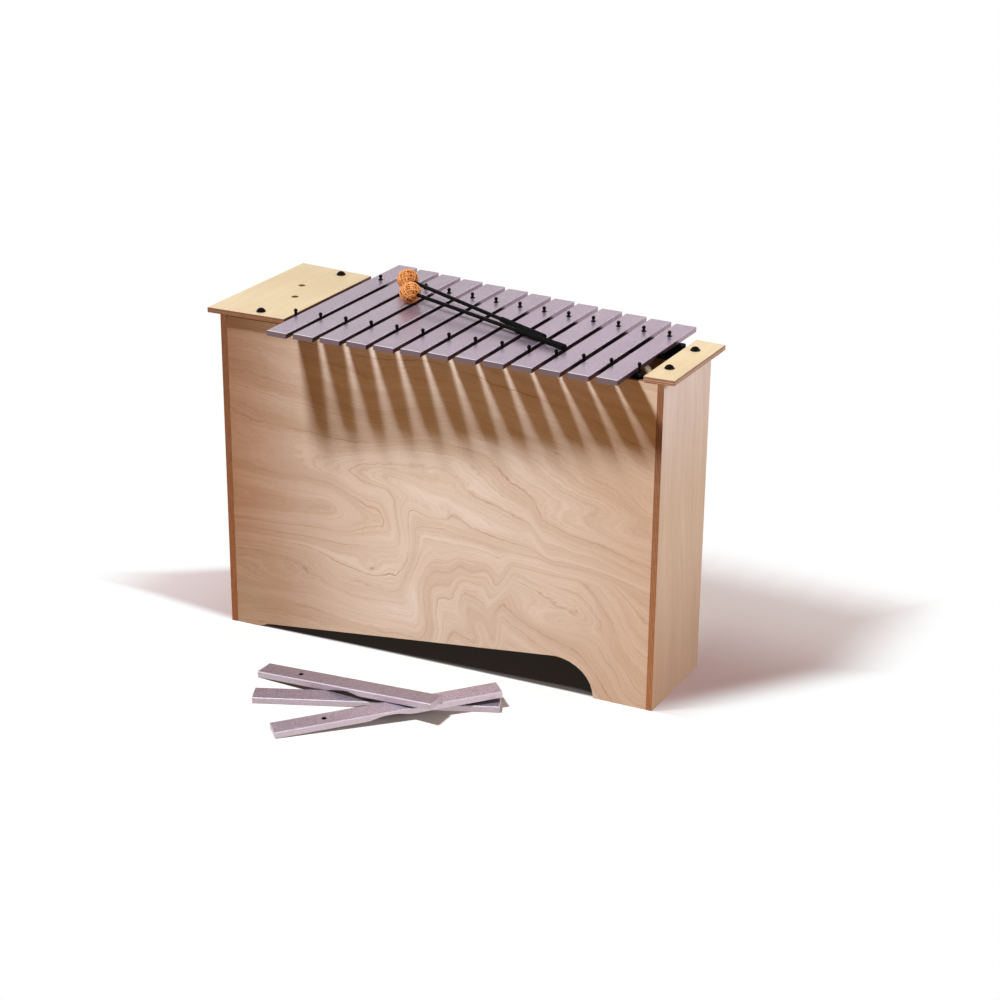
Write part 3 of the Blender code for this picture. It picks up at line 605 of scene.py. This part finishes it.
rod_black.set("Roughness", 0.22 + streaks * 0.14)
grip_black = Finish("mallet_grip", 0.6, specular=0.01)
pores = grip_black.noise(grip_black.x * 1100, grip_black.y * 1100, grip_black.z * 1100, 3.0)
grip_black.set("Base Color", grip_black.blend(pores.rise(0.4, 0.7), (0.003, 0.0026, 0.0024), (0.008, 0.007, 0.0065)))
grip_black.set("Roughness", 0.5 + pores * 0.25)
grip_black.bump(pores, 0.00012, 0.7)
for name in ("front_mallet", "rear_mallet"):
    dress(rod_black, f"{name}_shaft")
    dress(grip_black, f"{name}_grip")


# Floor: a plain pale floor. It keeps part of both lamps' shadows, gleams white in metal and gloss,
# and returns a low warm light to the wood. It also carries painted shadow and shade near and under
# the box, painted light of its own, and plain white painted over the rest of the shadows.
bpy.ops.object.select_all(action="DESELECT")
bpy.ops.mesh.primitive_plane_add(size=60, location=(0, 0, 0))
ground = bpy.context.object
ground.name = "floor"
ground.location.z = -0.0004
floor_sheet = bpy.data.materials.new("floor_white")
floor_sheet.use_nodes = True
floor_sheet.node_tree.nodes.clear()
pale_floor = Recipe(floor_sheet.node_tree)
seen = pale_floor.add("LightPath", output="Is Camera Ray")
mirrored = pale_floor.add("LightPath", output="Is Glossy Ray")
mirrored = mirrored.most(pale_floor.add("LightPath", output="Is Transmission Ray"))
x, y, _ = pale_floor.split(pale_floor.add("TexCoord", output="Object"))
rightward = x.rise(-0.50, 0.30)
low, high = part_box("front_panel")
front = y - x * TAPER - (low.y + high.y) / 2
ahead = front.rise(0.0, -0.012)
leaning = pale_floor.point(0.97 - rightward * 0.37 - ahead * 0.60, -0.05, 0.25 + rightward * 0.55 + ahead * 0.80)
back = y + x * TAPER - (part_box("back_panel")[0].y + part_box("back_panel")[1].y) / 2
# Painted shade: the floor under the box is painted nearly black.
under = front.rise(-0.002, 0.006) * back.rise(0.002, -0.006) * x.rise(high.x, high.x - 0.006) * x.rise(low.x, low.x + 0.006)
paint = pale_floor.blend(rightward, (1.0, 0.90, 0.88), (1.0, 0.92, 0.85))
# Painted shade: ahead of the box the paint is darker, which deepens the shadows there while the lit floor stays white.
paint = pale_floor.blend(ahead, paint, (0.56, 0.49, 0.44))
paint = pale_floor.blend(under, paint, (0.10, 0.076, 0.066))
y = y - 0.14
# Painted shadow: the floor to the right of the box is painted darker, most near the box.
right = x.rise(0.25, 0.43)
paint = pale_floor.tinted(paint, right * y.rise(0.42, 0.04) * (1.0 - ahead), (0.548, 0.44, 0.427))
# Painted light: far from the box, and over parts of the lamps' shadows near it, the floor is painted plain white.
whited_out = x.rise(0.60, 0.78).most(x.rise(-0.62, -0.80)).most(y.rise(0.40, 0.66)).most(y.rise(-0.62, -0.80))
ahead_right = ((x - 0.43) * 1.36 - y - 0.10).rise(-0.07, 0.11) * right
ahead_left = (y + 0.145 + (x + 0.43) * 0.09).rise(0.018, -0.014) * x.rise(-0.40, -0.44)
behind_left = (y - 0.01 - (x + 0.60) * 0.76).rise(-0.02, 0.04) * x.rise(-0.425, -0.45)
whited_out = whited_out.most(ahead_right).most(ahead_left).most(behind_left)
shown = pale_floor.add("BsdfDiffuse", inputs={"Color": paint, "Normal": leaning})
# Painted light: the floor gives off a faint warm light of its own, redder at the left, weaker ahead of the box and
# least under it.
painted_floor_light = pale_floor.blend(x.rise(-0.40, -0.44), (0.07, 0.03, 0.03), (0.15, 0.05, 0.018))
painted_floor_light = pale_floor.blend(ahead, painted_floor_light, (0.02, 0.008, 0.008))
painted_floor_light = pale_floor.blend(under, painted_floor_light, (0.016, 0.0145, 0.0125))
painted_floor_light = pale_floor.add("Emission", inputs={"Color": painted_floor_light, "Strength": 1.0})
shown = pale_floor.add("AddShader", inputs={0: shown, 1: painted_floor_light})
white = pale_floor.add("Emission", inputs={"Color": (1, 1, 1, 1), "Strength": 1.0})
shown = pale_floor.add("MixShader", inputs={0: whited_out, 1: shown, 2: white})
bounce = pale_floor.add("BsdfDiffuse", inputs={"Color": (0.20, 0.105, 0.040, 1)})
behind = pale_floor.add("MixShader", inputs={0: mirrored, 1: bounce, 2: white})
mixed = pale_floor.add("MixShader", inputs={0: seen, 1: behind, 2: shown})
pale_floor.add("OutputMaterial", inputs={"Surface": mixed})
ground.data.materials.append(floor_sheet)


# Light: a cool lamp in front and to the left, a step above the bars, a broad soft one low from the
# right, and a surround that is white where it is seen or mirrored, and otherwise dim and warm.
surround = bpy.data.worlds.new("surround")
scene.world = surround
surround.use_nodes = True
surround.node_tree.nodes.clear()
sky = Recipe(surround.node_tree)
aside, away, above = sky.split(sky.add("TexCoord", output="Generated"))
lit = sky.blend(away.rise(-0.1, 0.6), (0.185, 0.108, 0.034), (0.53, 0.42, 0.37))
lit = sky.tinted(lit, above.rise(0.2, 0.9) * 0.7, (0.3, 0.3, 0.3))
plain = sky.add("LightPath", output="Is Diffuse Ray")
tone = sky.blend(plain, (1, 1, 1), lit)
backdrop = sky.add("Background", inputs={"Color": tone, "Strength": 1.0})
sky.add("OutputWorld", inputs={"Surface": backdrop})


key_light = bpy.data.lights.new("key", "POINT")
key_light.color = (0.77, 0.906, 1.0)
key_light.energy = 86.7
key_light.shadow_soft_size = 0.125
key_light.use_nodes = True
even = Recipe(key_light.node_tree).add("LightFalloff", inputs={"Strength": 1.0}, output=2)
key_light.node_tree.links.new(even.socket, key_light.node_tree.nodes["Emission"].inputs["Strength"])
side_light = bpy.data.lights.new("side", "SUN")
side_light.color = (0.80, 0.89, 1.0)
side_light.energy = 2.2
side_light.angle = math.radians(32)
for light in (key_light, side_light):
    lamp = bpy.data.objects.new(light.name, light)
    scene.collection.objects.link(lamp)
    lamp.location = (-0.484, -0.631, 2.0)
    lamp.rotation_euler = Vector((-0.95, -0.20, -0.32)).to_track_quat("-Z", "Y").to_euler()
scene.view_settings.view_transform = "Standard"
